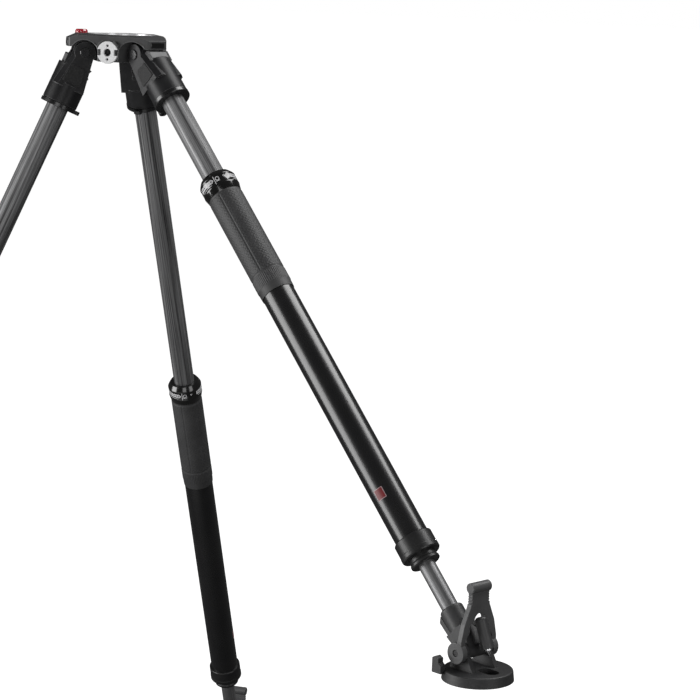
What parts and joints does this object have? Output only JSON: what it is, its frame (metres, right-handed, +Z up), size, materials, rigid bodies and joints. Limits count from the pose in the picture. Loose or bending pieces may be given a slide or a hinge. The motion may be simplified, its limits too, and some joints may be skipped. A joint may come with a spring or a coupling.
{
  "type": "video tripod",
  "caption": "Telescopic video tripod with a bowl crown, hinged legs, twist-lock grips and pivoting rubber shoes.",
  "frame": {"origin": "on the tripod's own axis, in the crown's bore under the bowl, 32.1 mm below the bowl rim; the ground is about 1.11 m below it", "axes": "+Z up, out of the bowl; +Y outward along the rear leg; -Y towards the front accessory port, between the left and right legs"},
  "size_m": [1.126, 0.9556, 1.1429],
  "materials": {
    "black_casting": "satin",
    "bright_seat": "satin",
    "steel": "satin",
    "red_clear": "gloss",
    "glass": "gloss",
    "grey_pad": "matte",
    "black_plastic": "satin",
    "carbon": "satin",
    "gloss_black": "gloss",
    "lock_black": "gloss",
    "grip_rubber": "matte",
    "low_tube": "satin",
    "slide_plastic": "matte",
    "foot_casting": "satin",
    "shoe_rubber": "matte"
  },
  "bodies": {
    "crown": {"crown_body": "black_casting", "bowl_ring": "bright_seat", "hinge_pins": "steel", "accessory_ports": "bright_seat", "level_cup": "red_clear", "level_vial": "glass"},
    "rear_leg": {"rear_head": "black_casting", "rear_end_ring": "black_plastic", "rear_upper_tube": "carbon", "rear_upper_bush": "slide_plastic"},
    "rear_selector": {"rear_selector": "grey_pad"},
    "rear_lock": {"rear_lock_ring": "lock_black", "rear_grip": "grip_rubber"},
    "rear_outer": {"rear_outer_tube": "gloss_black", "rear_collar": "black_plastic", "rear_nose": "black_plastic"},
    "rear_lower": {"rear_lower_tube": "low_tube", "rear_lower_bush": "slide_plastic", "rear_foot": "foot_casting", "rear_spike": "steel"},
    "rear_shoe": {"rear_shoe": "shoe_rubber", "rear_shoe_pin": "steel"},
    "rear_strap": {"rear_strap": "shoe_rubber"},
    "left_leg": {"left_head": "black_casting", "left_end_ring": "black_plastic", "left_upper_tube": "carbon", "left_upper_bush": "slide_plastic"},
    "left_selector": {"left_selector": "grey_pad"},
    "left_lock": {"left_lock_ring": "lock_black", "left_grip": "grip_rubber"},
    "left_outer": {"left_outer_tube": "gloss_black", "left_collar": "black_plastic", "left_nose": "black_plastic"},
    "left_lower": {"left_lower_tube": "low_tube", "left_lower_bush": "slide_plastic", "left_foot": "foot_casting", "left_spike": "steel"},
    "left_shoe": {"left_shoe": "shoe_rubber", "left_shoe_pin": "steel"},
    "left_strap": {"left_strap": "shoe_rubber"},
    "right_leg": {"right_head": "black_casting", "right_end_ring": "black_plastic", "right_upper_tube": "carbon", "right_upper_bush": "slide_plastic"},
    "right_selector": {"right_selector": "grey_pad"},
    "right_lock": {"right_lock_ring": "lock_black", "right_grip": "grip_rubber"},
    "right_outer": {"right_outer_tube": "gloss_black", "right_collar": "black_plastic", "right_nose": "black_plastic"},
    "right_lower": {"right_lower_tube": "low_tube", "right_lower_bush": "slide_plastic", "right_foot": "foot_casting", "right_spike": "steel"},
    "right_shoe": {"right_shoe": "shoe_rubber", "right_shoe_pin": "steel"},
    "right_strap": {"right_strap": "shoe_rubber"}
  },
  "joints": [
    {"name": "rear_splay", "type": "hinge", "parent": "crown", "child": "rear_leg", "pos_m": [0, 0.0505, 0.0086], "axis": [1, 0, 0], "range_deg": [-24, 23]},
    {"name": "rear_selector_press", "type": "slide", "parent": "rear_leg", "child": "rear_selector", "axis": [0, -0.9135, -0.4067], "range_m": [0, 0.001], "stiffness_N_per_m": 900},
    {"name": "rear_upper_slide", "type": "slide", "parent": "rear_leg", "child": "rear_outer", "axis": [0, 0.4067, -0.9135], "range_m": [-0.43, 0.028]},
    {"name": "rear_twist_lock", "type": "hinge", "parent": "rear_outer", "child": "rear_lock", "pos_m": [0, 0.26688, -0.47741], "axis": [0, 0.4067, -0.9135], "range_deg": [0, 90]},
    {"name": "rear_lower_slide", "type": "slide", "parent": "rear_outer", "child": "rear_lower", "axis": [0, 0.4067, -0.9135], "range_m": [-0.048, 0.4]},
    {"name": "rear_shoe_tilt", "type": "hinge", "parent": "rear_lower", "child": "rear_shoe", "pos_m": [0, 0.53248, -1.07395], "axis": [-1, 0, 0], "range_deg": [-4, 42]},
    {"name": "rear_strap_swing", "type": "hinge", "parent": "rear_shoe", "child": "rear_strap", "pos_m": [0, 0.53248, -1.07395], "axis": [-1, 0, 0], "range_deg": [0, 80]},
    {"name": "left_splay", "type": "hinge", "parent": "crown", "child": "left_leg", "pos_m": [-0.04373, -0.02525, 0.0086], "axis": [-0.5, 0.866, 0], "range_deg": [-24, 23]},
    {"name": "left_selector_press", "type": "slide", "parent": "left_leg", "child": "left_selector", "axis": [0.7912, 0.4568, -0.4067], "range_m": [0, 0.001], "stiffness_N_per_m": 900},
    {"name": "left_upper_slide", "type": "slide", "parent": "left_leg", "child": "left_outer", "axis": [-0.3522, -0.2034, -0.9135], "range_m": [-0.43, 0.028]},
    {"name": "left_twist_lock", "type": "hinge", "parent": "left_outer", "child": "left_lock", "pos_m": [-0.23113, -0.13344, -0.47741], "axis": [-0.3522, -0.2034, -0.9135], "range_deg": [0, 90]},
    {"name": "left_lower_slide", "type": "slide", "parent": "left_outer", "child": "left_lower", "axis": [-0.3522, -0.2034, -0.9135], "range_m": [-0.048, 0.4]},
    {"name": "left_shoe_tilt", "type": "hinge", "parent": "left_lower", "child": "left_shoe", "pos_m": [-0.46114, -0.26624, -1.07395], "axis": [0.5, -0.866, 0], "range_deg": [-4, 42]},
    {"name": "left_strap_swing", "type": "hinge", "parent": "left_shoe", "child": "left_strap", "pos_m": [-0.46114, -0.26624, -1.07395], "axis": [0.5, -0.866, 0], "range_deg": [0, 80]},
    {"name": "right_splay", "type": "hinge", "parent": "crown", "child": "right_leg", "pos_m": [0.04373, -0.02525, 0.0086], "axis": [-0.5, -0.866, 0], "range_deg": [-43.9, 3.1]},
    {"name": "right_selector_press", "type": "slide", "parent": "right_leg", "child": "right_selector", "axis": [-0.624, 0.3603, -0.6934], "range_m": [0, 0.001], "stiffness_N_per_m": 900},
    {"name": "right_upper_slide", "type": "slide", "parent": "right_leg", "child": "right_outer", "axis": [0.6005, -0.3467, -0.7206], "range_m": [-0.1185, 0.3395]},
    {"name": "right_twist_lock", "type": "hinge", "parent": "right_outer", "child": "right_lock", "pos_m": [0.17614, -0.1017, -0.15028], "axis": [0.6005, -0.3467, -0.7206], "range_deg": [0, 90]},
    {"name": "right_lower_slide", "type": "slide", "parent": "right_outer", "child": "right_lower", "axis": [0.6005, -0.3467, -0.7206], "range_m": [-0.048, 0.4]},
    {"name": "right_shoe_tilt", "type": "hinge", "parent": "right_lower", "child": "right_shoe", "pos_m": [0.56827, -0.32809, -0.6208], "axis": [0.5, 0.866, 0], "range_deg": [-23.9, 22.1]},
    {"name": "right_strap_swing", "type": "hinge", "parent": "right_shoe", "child": "right_strap", "pos_m": [0.56827, -0.32809, -0.6208], "axis": [0.5, 0.866, 0], "range_deg": [0, 80]}
  ]
}
